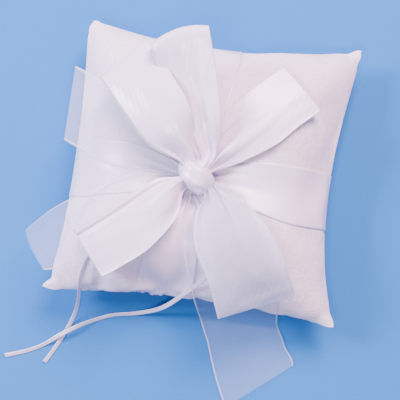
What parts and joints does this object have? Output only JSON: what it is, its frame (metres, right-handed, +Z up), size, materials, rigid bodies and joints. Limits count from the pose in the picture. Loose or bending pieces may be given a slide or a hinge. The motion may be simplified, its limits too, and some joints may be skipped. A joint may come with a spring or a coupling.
{
  "type": "ring bearer pillow",
  "caption": "Square stuffed pillow with crossed satin bands and a satin and organza bow with narrow ribbons for tying on wedding rings.",
  "frame": {"origin": "on the flat underside of the pillow, below the middle of the square between its four corner tips", "axes": "+Z up through the bow, +X to the pillow's right side as it is looked at from above, +Y to its head side, away from the long organza tail"},
  "size_m": [0.2144, 0.2497, 0.0904],
  "materials": {
    "cover_cloth": "matt white woven cloth with a fine slub",
    "filling": "loose white polyester fibre",
    "satin": "white satin ribbon, smooth and lustrous",
    "organza": "sheer crisp white organza ribbon with close-woven edges",
    "ring_ribbon": "narrow white satin ribbon",
    "thread": "white sewing thread"
  },
  "bodies": {
    "root": {"cover_front": "cover_cloth", "cover_back": "cover_cloth", "fibre_filling": "filling", "seam_thread": "thread", "closing_stitches": "thread", "satin_band_across": "satin", "satin_band_upright": "satin", "satin_knot": "satin", "satin_loop_top": "satin", "satin_loop_left": "satin", "satin_tail_right": "satin", "satin_tail_left": "satin", "organza_centre_wrap": "organza", "organza_loop_left": "organza", "organza_loop_right": "organza", "organza_tail_left": "organza", "organza_tail_front": "organza", "bow_tacking": "thread", "ring_ribbon_long": "ring_ribbon", "ring_ribbon_short": "ring_ribbon", "ring_ribbon_tacking": "thread"}
  },
  "joints": []
}
